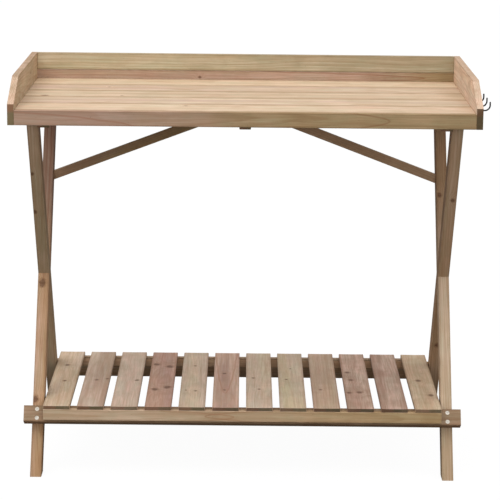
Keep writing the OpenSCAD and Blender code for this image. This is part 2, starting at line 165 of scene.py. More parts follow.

# heart is the pith at the board's middle: how far across and through, in metres, and how much
# it comes nearer per metre along; a knot is (along, across, radius) from the board's middle;
# figure is the strength of the rings; end is the shade of the sawn ends, one number or one
# each for red, green and blue; far is the tone and shade that the board drifts to along it,
# about which point and within what reach, which on the two legs whose tops lean back paints
# shade on their upper parts under the tray; an arch is (along, across, spread) of its tip,
# and opens back along the board, or ahead if the spread is negative; rim is the tone of the
# narrow faces, lighter than the board: partly their own pink tone, partly painted light where
# light falls on the top edges
Board = namedtuple("Board", "lie base streak shade heart knots figure end far arches rim",
                   defaults=((0.03, -0.05, 0.02), (), 1.0, 0.8, None, (), None))
BOARDS = {
    "worktop_board_1": Board(LONG_FLAT, "cream", "blush", 1.04, (0.02, -0.045, 0.015),
                             ((-0.14, 0.03, 0.0035),), 1.3),
    "worktop_board_2": Board(LONG_FLAT, "cream", "rose", 1.00, (-0.03, -0.060, -0.02), (), 1.4),
    "worktop_board_3": Board(LONG_FLAT, "cream", "tan", 1.0, (0.05, -0.040, 0.01),
                             ((-0.486, -0.040, 0.007), (-0.30, -0.03, 0.003)), 1.5),
    "worktop_board_4": Board(LONG_FLAT, "cream", "rose", 0.98, (-0.02, -0.055, 0.02),
                             ((-0.34, 0.01, 0.003),), 1.4),
    "worktop_board_5": Board(LONG_FLAT, "cream", "straw", 1.13, (0.01, -0.070, 0.01), (), 1.2),
    "front_apron": Board(LONG_UPRIGHT, "rose", "umber", 1.08, (0.01, -0.050, 0.010), (), 1.3,
                         far=("honey", 0.97, -0.12, 0.24),
                         arches=((-0.245, -0.024, 0.0054), (0.335, 0.000, 0.0040))),
    "back_board_upper": Board(LONG_UPRIGHT, "willow", "olive", 1.0, (0.03, -0.045, 0.012), (),
                              1.2, far=("willow", 0.82, 0.0, 0.35)),
    "back_board_lower": Board(LONG_UPRIGHT, "rose", "tan", 0.93, (-0.012, -0.030, -0.02),
                              ((-0.118, 0.012, 0.0030),), 1.1,
                              far=("honey", 0.86, 0.40, 0.10),
                              arches=((0.46, 0.014, 0.0006),)),
    # the side boards' narrow faces, their top edges above all, get a lighter pink: partly their
    # own tone, partly painted light
    "side_board_left": Board(DEEP_UPRIGHT, "tan", "olive", 0.97, (-0.02, -0.06, 0.03),
                             ((0.11, 0.02, 0.004),), 1.0, 1.0, rim="blush"),
    "side_board_right": Board(DEEP_UPRIGHT, "grey_beige", "blush", 1.22, (0.03, -0.05, 0.03),
                              ((0.17, -0.02, 0.004),), 1.3, (0.38, 0.34, 0.22), rim="blush"),
    "end_batten_left": Board(DEEP_FLAT, "umber", "brown", 0.9),
    # the centre batten is darker than the end battens: painted shade under the worktop
    "centre_batten": Board(DEEP_FLAT, "umber", "brown", 0.6),
    "end_batten_right": Board(DEEP_FLAT, "umber", "brown", 0.9, (-0.03, -0.05, 0.02)),
    "leg_left_a": Board(LEG_A, "olive", "tan", 0.80, (0.02, -0.04, 0.03),
                        ((0.34, -0.009, 0.0040), (0.22, -0.010, 0.0048)),
                        1.2, far=("tan", 0.97, 0.3, 0.2)),
    # its upper part drifts darker and redder: partly its own tone, partly painted shade under the
    # tray
    "leg_left_b": Board(LEG_B, "brown", "rose", 1.17, (0.012, -0.02, 0.03),
                        ((-0.03, -0.002, 0.008), (-0.325, -0.008, 0.007)), 1.2,
                        far=("umber", 1.0, 0.10, 0.14),
                        arches=((-0.02, 0.001, -0.0001),)),
    "leg_right_a": Board(LEG_A, "tan", "brown", 0.95, (-0.02, -0.04, 0.02),
                         ((0.27, 0.004, 0.005), (-0.22, 0.0, 0.006)), 1.2,
                         far=("tan", 1.0, 0.1, 0.2)),
    # its upper part drifts darker: partly its own tone, partly painted shade under the tray
    "leg_right_b": Board(LEG_B, "cream", "grey_beige", 0.94, (0.03, -0.04, -0.02),
                         ((0.21, -0.006, 0.005),), 1.1, far=("brown", 0.92, 0.12, 0.14)),
    "shelf_rail_front": Board(RAIL_FRONT, "brown", "tan", 0.80, (0.02, -0.035, 0.02), (), 1.1),
    "shelf_rail_back": Board(RAIL_BACK, "brown", "tan", 1.0, (-0.02, -0.035, 0.02),
                             ((0.12, 0.006, 0.006),)),
    "brace_left": Board(BRACE_LEFT, "honey", "umber", 0.9, (0.012, -0.03, 0.02), (), 1.4),
    "brace_right": Board(BRACE_RIGHT, "tan", "brown", 1.05, (0.012, -0.03, 0.02), (), 1.4),
    "shelf_strip_front": Board(LONG_UPRIGHT, "straw", "tan", 1.17, (0.0, -0.02, 0.02), (), 1.2,
                               far=("honey", 1.22, 0.1, 0.4),
                               arches=((-0.02, -0.002, 0.0016), (-0.09, 0.0, -0.0016))),
    "shelf_strip_back": Board(LONG_UPRIGHT, "tan", "straw", 1.0, (0.01, -0.03, 0.02)),
    "slat_01": Board(DEEP_FLAT, "straw", "grey_beige", 1.0, (0.02, -0.05, 0.02),
                     ((0.116, 0.003, 0.0055), (-0.03, -0.002, 0.0045)), 0.6, 0.66),
    "slat_02": Board(DEEP_FLAT, "grey_beige", "umber", 1.02, (0.01, -0.05, 0.02),
                     ((-0.02, 0.0, 0.005), (-0.01, -0.026, 0.004)), 0.6, 0.6),
    "slat_03": Board(DEEP_FLAT, "grey_beige", "rose", 1.02, (0.03, -0.05, 0.02),
                     ((-0.02, -0.02, 0.005),), 0.6, 0.6),
    "slat_04": Board(DEEP_FLAT, "umber", "heart", 1.28, (-0.01, -0.05, 0.02),
                     ((0.13, 0.018, 0.008), (0.11, -0.016, 0.009), (-0.10, 0.014, 0.008),
                      (-0.08, -0.016, 0.009)), 0.8, 0.55),
    "slat_05": Board(DEEP_FLAT, "grey_beige", "straw", 1.0, (0.04, -0.05, 0.02),
                     ((0.12, 0.0, 0.0035), (-0.11, -0.006, 0.004), (-0.105, 0.018, 0.003)),
                     0.6, 0.62),
    "slat_06": Board(DEEP_FLAT, "rose", "heart", 1.14, (0.0, -0.05, 0.02),
                     ((-0.10, 0.004, 0.004), (0.05, 0.006, 0.005)), 0.7, 0.45,
                     arches=((-0.13, 0.002, -0.0022),)),
    "slat_07": Board(DEEP_FLAT, "grey_beige", "straw", 1.04, (-0.03, -0.05, 0.015),
                     ((0.01, 0.014, 0.004), (-0.09, 0.0, 0.004)), 0.6, 0.5),
    "slat_08": Board(DEEP_FLAT, "grey_beige", "olive", 1.03, (0.02, -0.06, 0.015),
                     ((0.10, 0.0, 0.003), (0.0, 0.012, 0.004)), 0.6, 0.5),
    "slat_09": Board(DEEP_FLAT, "rose", "tan", 0.96, (0.03, -0.04, 0.015),
                     ((-0.09, 0.01, 0.004),), 0.6, 0.42),
    "slat_10": Board(DEEP_FLAT, "umber", "rose", 1.10, (-0.02, -0.03, 0.015),
                     ((0.07, 0.018, 0.006), (0.0, 0.012, 0.006), (-0.11, -0.004, 0.007),
                      (-0.115, 0.022, 0.006)), 0.7, 0.38),
    "slat_11": Board(DEEP_FLAT, "umber", "rose", 1.02, (0.02, -0.04, 0.015), (), 0.7, 0.4),
    "slat_12": Board(DEEP_FLAT, "tan", "straw", 1.08, (-0.02, -0.05, 0.02),
                     ((0.0, 0.006, 0.007), (-0.13, -0.016, 0.006)), 0.6, 0.5),
}
UNDERFRAME = [n for n in BOARDS
              if n.split("_")[0] in ("leg", "brace", "end", "centre") or "rail" in n]


def lie_matrix(name):
    """Turns board directions (along, across, through) into the frame's X, Y and Z."""
    lie = BOARDS[name].lie
    along, across = Vector(lie.along), Vector(lie.across)
    return Matrix((along, across, along.cross(across))).transposed()


def board_size(name):
    """Length, width and thickness of a board; only the section matters where it is tilted."""
    if BOARDS[name].lie in (LEG_A, LEG_B):
        return (1.0, LEG_WIDTH, FRAME_DEPTH)
    if BOARDS[name].lie in (RAIL_FRONT, RAIL_BACK, BRACE_LEFT, BRACE_RIGHT):
        return (1.0, BRACE_WIDTH if "brace" in name else FRAME_DEPTH, LEG_WIDTH)
    low, high = (Vector(c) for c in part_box(name))
    return [abs(c) for c in lie_matrix(name).transposed() @ (high - low)]


def middle(name):
    """The middle of a CAD board's box."""
    low, high = (Vector(c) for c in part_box(name))
    return (low + high) / 2


# ---- surfaces -----------------------------------------------------------------------

def rounded_section(width, thickness, arris, steps=5):
    """Closed outline of a board's section, anticlockwise, as points (across, through).

    Each corner is a quarter circle of radius arris about a centre one radius in from both
    sides; each side between them is cut into short lengths, the outer two 1 mm long.
    """
    turn = np.linspace(0, np.pi / 2, steps)
    half = np.array([width, thickness]) / 2 - arris
    points = []
    for k, sign in enumerate([(1, 1), (-1, 1), (-1, -1), (1, -1)]):
        angle = turn + k * np.pi / 2
        points.append(np.stack([sign[0] * half[0] + arris * np.cos(angle),
                                sign[1] * half[1] + arris * np.sin(angle)], axis=1))
    outline = []
    for k in range(4):
        start, end = points[k][-1], points[(k + 1) % 4][0]
        run = np.linalg.norm(end - start)
        near = min(0.001, run / 4) / run
        fractions = np.r_[near, np.linspace(near, 1 - near, 7)[1:-1], 1 - near]
        outline += [points[k], start + (end - start) * fractions[:, None]]
    return np.concatenate(outline)


def board_surface(length, width, thickness, arris, cup):
    """A planed board as a section carried along a straight path.

    At a distance e from either end, closer than the arris radius r, the section is drawn in
    by r - sqrt(r^2 - (r - e)^2) on every side, which rounds the end arrises. Each wide face
    is hollowed by cup * (1 - (2 * across / width)^2). Flat fans close the two ends.
    """
    section = rounded_section(width, thickness, arris)
    ease = np.linspace(0, np.pi / 2, 4)
    from_end = arris * (1 - np.sin(ease[::-1]))
    inset_end = arris * (1 - np.cos(ease[::-1]))
    inside = np.linspace(arris + 0.001, length - arris - 0.001, 19)
    along = np.concatenate([from_end, inside, length - from_end[::-1]])
    inset = np.concatenate([inset_end, np.zeros(19), inset_end[::-1]])
    shrink = 1 - 2 * inset[:, None, None] / np.array([width, thickness])
    cross = section[None] * shrink
    hollow = cup * (1 - (2 * cross[..., 0] / width) ** 2) * (cross[..., 1] / (thickness / 2))
    rings, around = len(along), len(section)
    grid = np.empty((rings, around, 3))
    grid[..., 0] = along[:, None] - length / 2
    grid[..., 1] = cross[..., 0]
    grid[..., 2] = cross[..., 1] - hollow
    ends = np.array([[-length / 2, 0, 0], [length / 2, 0, 0]])
    vertices = np.concatenate([grid.reshape(-1, 3), ends])
    r, a = np.meshgrid(np.arange(rings - 1), np.arange(around), indexing="ij")
    b = (a + 1) % around
    quads = np.stack([r * around + a, r * around + b, (r + 1) * around + b,
                      (r + 1) * around + a], axis=-1).reshape(-1, 4)
    k = np.arange(around)
    nxt, last = (k + 1) % around, (rings - 1) * around
    first_fan = np.stack([nxt, k, np.full(around, rings * around)], axis=1)
    last_fan = np.stack([last + k, last + nxt, np.full(around, rings * around + 1)], axis=1)
    return vertices, quads[:, ::-1], np.concatenate([first_fan, last_fan])[:, ::-1]


def mesh_piece(name, vertices, quads, triangles):
    """A new object at the origin, with the given quads and triangles."""
    mesh = bpy.data.meshes.new(name)
    corners = np.concatenate([quads.ravel(), triangles.ravel()]).astype(np.int32)
    counts = np.r_[np.full(len(quads), 4), np.full(len(triangles), 3)]
    mesh.vertices.add(len(vertices))
    mesh.vertices.foreach_set("co", np.ascontiguousarray(vertices, np.float32).ravel())
    mesh.loops.add(len(corners))
    mesh.loops.foreach_set("vertex_index", corners)
    mesh.polygons.add(len(counts))
    mesh.polygons.foreach_set("loop_start", np.r_[0, np.cumsum(counts)[:-1]].astype(np.int32))
    mesh.update(calc_edges=True)
    smooth = np.r_[np.ones(len(quads), bool), np.zeros(len(triangles), bool)]
    mesh.polygons.foreach_set("use_smooth", smooth)
    if mesh.validate():
        raise RuntimeError(f"{name}: the surface is not a clean mesh")
    piece = bpy.data.objects.new(name, mesh)
    bpy.context.scene.collection.objects.link(piece)
    return piece


def planed_board(name, timber):
    """A board with rounded arrises in the place of the CAD board of that name."""
    turn = lie_matrix(name)
    vertices, quads, triangles = board_surface(*board_size(name), timber.arris, timber.cup)
    vertices = vertices @ np.array(turn).T + np.array(middle(name))
    piece = mesh_piece(f"{name}_planed", vertices, quads, triangles)
    piece.data.materials.append(board_material(name))
    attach(piece, "root")
    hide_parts(name)
    return piece


# ---- material building --------------------------------------------------------------

class Wires:
    """Adds nodes to a tree: a socket given as a value is linked, a number is set."""

    def __init__(self, tree):
        self.tree = tree

    def put(self, kind, values=(), **settings):
        node = self.tree.nodes.new(kind)
        for key, value in settings.items():
            setattr(node, key, value)
        for key, value in dict(values).items():
            self.give(node.inputs[key], value)
        return node

    def give(self, socket, value):
        if isinstance(value, bpy.types.NodeSocket):
            self.tree.links.new(value, socket)
        elif value is not None:
            socket.default_value = value

    def math(self, operation, a, b=None, c=None, clamp=False):
        return self.put("ShaderNodeMath", {0: a, 1: b, 2: c},
                        operation=operation, use_clamp=clamp).outputs[0]

    def vector(self, operation, a, b=None, scale=None):
        node = self.put("ShaderNodeVectorMath", {0: a, 1: b}, operation=operation)
        if scale is not None:
            self.give(node.inputs["Scale"], scale)
        return node.outputs["Value" if operation in ("LENGTH", "DOT_PRODUCT") else "Vector"]

    def span(self, value, low, high, to_low=0.0, to_high=1.0, smooth=True):
        return self.put("ShaderNodeMapRange", {0: value, 1: low, 2: high, 3: to_low, 4: to_high},
                        interpolation_type="SMOOTHSTEP" if smooth else "LINEAR").outputs[0]

    def noise(self, where, scale, detail=3.0, roughness=0.55, w=None):
        node = self.put("ShaderNodeTexNoise",
                        {"Vector": where, "Scale": scale, "Detail": detail,
                         "Roughness": roughness},
                        noise_dimensions="3D" if w is None else "4D")
        if w is not None:
            self.give(node.inputs["W"], w)
        return node.outputs[0]

    def mix(self, factor, a, b, blend="MIX"):
        node = self.put("ShaderNodeMix", data_type="RGBA", blend_type=blend)
        self.give(node.inputs[0], factor)
        for socket, value in ((node.inputs[6], a), (node.inputs[7], b)):
            self.give(socket, value if isinstance(value, bpy.types.NodeSocket)
                      else (*value, 1.0))
        return node.outputs[2]

    def tint(self, colour, by):
        """A colour times three numbers, worked out here unless it changes over the surface."""
        if isinstance(colour, bpy.types.NodeSocket):
            return self.mix(1.0, colour, by, "MULTIPLY")
        return np.array(colour) * by

    def parts(self, vector):
        return self.put("ShaderNodeSeparateXYZ", {0: vector}).outputs

    def join(self, x, y, z):
        return self.put("ShaderNodeCombineXYZ", {0: x, 1: y, 2: z}).outputs[0]


def group(name, inputs, outputs, build):
    """A shader node group, built once: build(wires, inputs) gives the values of its outputs."""
    tree = bpy.data.node_groups.get(name)
    if tree:
        return tree
    tree = bpy.data.node_groups.new(name, "ShaderNodeTree")
    for label, kind, default in inputs:
        socket = tree.interface.new_socket(label, in_out="INPUT", socket_type=kind)
        if default is not None:
            socket.default_value = default
    for label in outputs:
        tree.interface.new_socket(label, in_out="OUTPUT", socket_type="NodeSocketFloat")
    wires = Wires(tree)
    start, end = tree.nodes.new("NodeGroupInput"), tree.nodes.new("NodeGroupOutput")
    for socket, value in zip(end.inputs, build(wires, start.outputs)):
        wires.give(socket, value)
    return tree


NUMBER, VECTOR = "NodeSocketFloat", "NodeSocketVector"


def softwood_grain():
    """Growth rings about the heart, pulled about along the board, with streaks and fibres.

    The heart runs along X, coming nearer by Heart Z per metre. The year count is (distance
    from it) / spacing + knot push; late wood rises slowly through each year and ends sharply.
    Streaks, lines and fibres are noise stretched along X, each finer than the one before;
    patches are shorter, about four times as long as wide, and clouds are broad and round.
    """
    def build(w, given):
        x, y, z = w.parts(given["Board"])[:]

        def stretched(along, around):
            return w.join(w.math("MULTIPLY", x, along), w.math("MULTIPLY", y, around),
                          w.math("MULTIPLY", z, around))

        far = stretched(1.7, 5.0)
        drift = w.math("SUBTRACT", w.noise(far, 1.0, 2.0, 0.5, given["Seed"]), 0.5)
        lift = w.math("SUBTRACT", w.noise(far, 0.8, 1.0, 0.5,
                                          w.math("ADD", given["Seed"], 7.3)), 0.5)
        hx, hy, lean = w.parts(given["Heart"])[:]
        away_y = w.math("MULTIPLY_ADD", drift, given["Wander"], w.math("SUBTRACT", y, hx))
        deep = w.math("MULTIPLY_ADD", x, lean, w.math("SUBTRACT", z, hy))
        away_z = w.math("MULTIPLY_ADD", lift, given["Wander"], deep)
        distance = w.vector("LENGTH", w.join(away_y, away_z, 0.0))
        ripple = w.math("SUBTRACT",
                        w.noise(stretched(9.0, 90.0), 1.0, 2.0, 0.5, given["Seed"]), 0.5)
        years = w.math("ADD", w.math("DIVIDE", distance, given["Spacing"]),
                       w.math("MULTIPLY_ADD", ripple, 0.7, given["Push"]))
        part = w.math("FRACT", years)
        late = w.math("MULTIPLY", w.span(part, 0.30, 0.86),
                      w.span(part, 1.0, 0.90))
        which = w.math("FLOOR", years)
        strength = w.put("ShaderNodeTexWhiteNoise", {"W": which},
                         noise_dimensions="1D").outputs["Value"]
        late = w.math("MULTIPLY", late, w.span(strength, 0, 1, 0.45, 1.0, False))
        streaks = w.span(w.noise(stretched(1.3, 34.0), 1.0, 3.0, 0.6, given["Seed"]),
                         0.38, 0.62)
        lines = w.span(w.noise(stretched(2.6, 135.0), 1.0, 2.0, 0.5, given["Seed"]),
                       0.50, 0.70)
        fibres = w.noise(stretched(14.0, 520.0), 1.0, 3.0, 0.6, given["Seed"])
        clouds = w.noise(given["Board"], 9.0, 4.0, 0.6,
                         w.math("ADD", given["Seed"], 3.1))
        patches = w.span(w.noise(stretched(11.0, 42.0), 1.0, 4.0, 0.65, given["Seed"]),
                         0.34, 0.66)
        return late, streaks, fibres, clouds, lines, patches

    return group("Softwood grain",
                 [("Board", VECTOR, None), ("Heart", VECTOR, None), ("Spacing", NUMBER, 0.004),
                  ("Wander", NUMBER, 0.02), ("Seed", NUMBER, 0.0), ("Push", NUMBER, 0.0)],
                 ["Late wood", "Streaks", "Fibres", "Clouds", "Lines", "Patches"], build)


def knot_group():
    """One knot, straight through the board: an oval 1.35 times as long along the grain.

    With d the distance from its middle over its radius, the core fades from d = 0.72 to 1, the
    bark ring lies about d = 1, a dark check runs across it to d = 2 on either side, and the
    year count around it is pushed on by 2.4 exp(-d^2 / 6).
    """
    def build(w, given):
        x, y, _ = w.parts(w.vector("SUBTRACT", given["Board"], given["Middle"]))[:]
        wobble = w.math("MULTIPLY", w.math("SUBTRACT", w.noise(given["Board"], 120.0, 3.0), 0.5),
                        1.1)
        flat = w.join(w.math("DIVIDE", x, 1.35), y, 0.0)
        d = w.math("ADD", w.math("DIVIDE", w.vector("LENGTH", flat), given["Radius"]), wobble)
        core = w.span(d, 1.0, 0.72)
        ring = w.math("MULTIPLY", w.span(d, 1.5, 1.05), w.span(d, 0.7, 1.0))
        off = w.math("MULTIPLY_ADD", wobble, 0.7, w.math("DIVIDE", x, given["Radius"]))
        side = w.math("ABSOLUTE", w.math("DIVIDE", y, given["Radius"]))
        check = w.math("MULTIPLY", w.span(w.math("ABSOLUTE", off), 0.42, 0.12),
                       w.span(side, 2.1, 0.9))
        push = w.math("MULTIPLY",
                      w.math("EXPONENT", w.math("MULTIPLY", w.math("MULTIPLY", d, d), -0.16)),
                      2.4)
        return core, w.math("MAXIMUM", ring, check), push

    return group("Knot", [("Board", VECTOR, None), ("Middle", VECTOR, None),
                          ("Radius", NUMBER, 0.006)], ["Core", "Bark", "Push"], build)


def board_edges():
    """Where the surface is a sawn end, an arris, a soiled edge or a narrow face.

    A sawn end faces along the grain. An arris faces none of the three board directions: its
    largest normal component is well under 1, broken up by noise so that the paling of the
    arrises, partly worn and partly a painted highlight, is uneven.
    Dirt gathers within the given reach of the long edges of the face, at the joints. A narrow
    face is one that faces neither through the board nor along it.
    """
    def build(w, given):
        nx, ny, nz = (w.math("ABSOLUTE", n) for n in w.parts(given["Facing"]))
        largest = w.math("MAXIMUM", w.math("MAXIMUM", nx, ny), nz)
        arris = w.span(largest, 0.86, 0.74)
        patchy = w.span(w.noise(given["Board"], 30.0, 3.0), 0.35, 0.62, 0.25, 1.0)
        across = w.math("ABSOLUTE", w.parts(given["Board"])[1])
        inward = w.math("SUBTRACT", given["Half width"], across)
        soil = w.math("MULTIPLY", w.span(inward, given["Reach"], 0.0005),
                      w.span(w.noise(given["Board"], 17.0, 3.0), 0.3, 0.6, 0.45, 1.0))
        narrow = w.math("MULTIPLY", w.span(nz, 0.45, 0.25), w.span(nx, 0.97, 0.93))
        return w.span(nx, 0.93, 0.97), w.math("MULTIPLY", arris, patchy), soil, narrow

    return group("Board edges",
                 [("Board", VECTOR, None), ("Facing", VECTOR, None), ("Half width", NUMBER, 1.0),
                  ("Reach", NUMBER, 0.0075)],
                 ["Sawn end", "Rubbed arris", "Soiled edge", "Narrow face"], build)


def grain_arch():
    """One arch of late wood, with fainter ones inside it.

    The arch is the parabola (tip along - x) / spread = ((y - tip across) / spread)^2. With d the
    distance inside it, the line is darkest at d = 0, ends sharply outside and fades over 6 mm
    inside; the inner lines follow every 9 mm of d, fading by exp(-d / 20 mm).
    """
    def build(w, given):
        x, y, _ = w.parts(given["Board"])[:]
        along, across, spread = w.parts(given["Tip"])[:]
        bend = w.math("SUBTRACT", w.noise(given["Board"], 14.0, 2.0), 0.5)
        away = w.math("DIVIDE", w.math("MULTIPLY_ADD", bend, 0.006,
                                       w.math("SUBTRACT", y, across)), spread)
        ahead = w.math("DIVIDE", w.math("SUBTRACT", along, x), spread)
        inside = w.math("SUBTRACT", ahead, w.math("MULTIPLY", away, away))
        steep = w.math("SQRT", w.math("MULTIPLY_ADD", w.math("MULTIPLY", away, away), 4.0, 1.0))
        d = w.math("MULTIPLY", w.math("DIVIDE", inside, steep), w.math("ABSOLUTE", spread))
        line = w.math("MULTIPLY", w.span(d, 0.0060, 0.0008), w.span(d, -0.0012, 0.0))
        inner = w.math("FRACT", w.math("DIVIDE", d, 0.009))
        fade = w.math("MULTIPLY", w.math("EXPONENT", w.math("MULTIPLY", d, -50.0)), 0.5)
        inner = w.math("MULTIPLY", w.math("MULTIPLY", w.span(inner, 0.5, 0.05), fade),
                       w.span(d, 0.004, 0.009))
        return (w.math("MAXIMUM", line, inner),)

    return group("Grain arch", [("Board", VECTOR, None), ("Tip", VECTOR, None)],
                 ["Arch"], build)


def handling_marks():
    """Small dark specks and faint soiled patches left by use, as two masks."""
    def build(w, given):
        shifted = w.vector("ADD", given["Board"], w.join(given["Seed"], 0.0, 0.0))
        specks = w.span(w.noise(shifted, 210.0, 1.0), 0.735, 0.79)
        soiled = w.span(w.noise(shifted, 11.0, 4.0, 0.62), 0.52, 0.74)
        return specks, soiled

    return group("Handling marks", [("Board", VECTOR, None), ("Seed", NUMBER, 0.0)],
                 ["Specks", "Soiled"], build)


def new_material(name):
    """A material with a bare Principled shader: the material, its wires and the shader."""
    material = bpy.data.materials.new(name)
    material.use_nodes = True
    material.node_tree.nodes.clear()
    wires = Wires(material.node_tree)
    shader = wires.put("ShaderNodeBsdfPrincipled")
    wires.put("ShaderNodeOutputMaterial", {"Surface": shader.outputs[0]})
    return material, wires, shader


# what each thing does to the tone of the wood, as factors of red, green and blue
RING_TONE, ARCH_TONE, DULL_TONE = (0.60, 0.47, 0.36), (0.58, 0.38, 0.29), (0.78, 0.73, 0.66)
GRIME_TONE, SPECK_TONE, FOOT_TONE = (0.48, 0.38, 0.29), (0.30, 0.23, 0.17), (0.83, 0.78, 0.71)
# the first tone below lightens the arrises: partly worn pale, partly a painted highlight
RUBBED_AND_HIGHLIGHT_TONE, FAR_STREAK = (1.20, 1.22, 1.25), (0.90, 0.85, 0.80)
PINK_CAST, GREEN_CAST = (1.06, 1.01, 1.01), (0.91, 0.965, 0.94)
UPPER_END, LOWER_END = (1.24, 1.00, 0.93), (0.84, 0.98, 0.84)
# distances in metres: how far dirt reaches from a joint or an arris, how far the heart wanders,
# where the tone of a side board's front end turns, and where a leg grows darker towards its foot
JOINT_REACH, ARRIS_REACH, WANDER = 0.016, 0.0055, 0.035
SIDE_END_BORDER, FOOT_FROM, FOOT_TO = -0.020, -0.27, -0.36
# how strongly each thing shows: 1 hides the wood beneath it
DULL_DEPTH, ARCH_DEPTH, FIBRE_DEPTH, FOOT_DEPTH = 0.5, 0.62, 0.36, 0.9
BARK_DEPTH, KNOT_DEPTH, SOILED_DEPTH, SPECK_DEPTH = 0.55, 0.70, 0.26, 0.35
# joints are dirtier than arrises, and narrow faces are painted lighter, as where light falls on
# a top edge, by these factors; the grain of two boards is SEED_STEP apart in the noise; then the
# strength of the bump and of the gloss
JOINT_SOIL, RIM_PAINTED_LIGHT, SEED_STEP, GRAIN_BUMP, WOOD_GLOSS = 1.35, 1.08, 1.7, 0.55, 0.28


def board_place(w, name):
    """The board's own coordinates (along, across, through) from its middle, and its normal."""
    turn = lie_matrix(name).to_euler()
    there = w.put("ShaderNodeTexCoord")
    place = w.put("ShaderNodeMapping", {"Vector": there.outputs["Object"],
                                        "Location": middle(name), "Rotation": turn},
                  vector_type="TEXTURE").outputs[0]
    facing = w.put("ShaderNodeMapping", {"Vector": there.outputs["Normal"], "Rotation": turn},
                   vector_type="TEXTURE").outputs[0]
    return place, facing


def board_knots(w, board, place):
    """All the knots of a board together: cores, bark, and their push on the rings."""
    core = bark = push = None
    for along, across, radius in board.knots:
        one = w.put("ShaderNodeGroup", {"Board": place, "Middle": (along, across, 0),
                                        "Radius": radius}, node_tree=knot_group()).outputs
        core = w.math("MAXIMUM", core, one[0]) if core else one[0]
        bark = w.math("MAXIMUM", bark, one[1]) if bark else one[1]
        push = w.math("ADD", push, one[2]) if push else one[2]
    return core, bark, push


def drifting_tones_and_shade(w, board, place, clouds):
    """A board's two tones, which drift along it towards its far tone where it has one."""
    tones = bpy.context.scene.bench_tones
    base = np.array(getattr(tones, board.base)) * board.shade
    streak = np.array(getattr(tones, board.streak)) * board.shade
    # on the legs whose tops lean back, this drift darkens the upper parts as painted shade under
    # the tray
    if board.far:
        tone_there, shade, about, reach = board.far
        drifted = np.array(getattr(tones, tone_there)) * shade
        along = w.math("MULTIPLY_ADD", w.math("SUBTRACT", clouds, 0.5), 1.5 * reach,
                       w.parts(place)[0])
        drift = w.span(along, about - reach, about + reach)
        base = w.mix(drift, base, drifted)
        streak = w.mix(drift, streak, drifted * FAR_STREAK)
    return base, streak


def sawn_wood(w, name, place, clouds):
    """End grain, reddish above and greenish below, with a ragged border between the two."""
    end_grain = np.array(bpy.context.scene.bench_tones.end_grain) * BOARDS[name].end
    border = SIDE_END_BORDER if name.startswith("side") else 0.0
    height = w.math("MULTIPLY_ADD", w.math("SUBTRACT", clouds, 0.5), 0.02, w.parts(place)[1])
    return w.mix(w.span(height, border - 0.004, border + 0.004), end_grain * LOWER_END,
                 end_grain * UPPER_END)


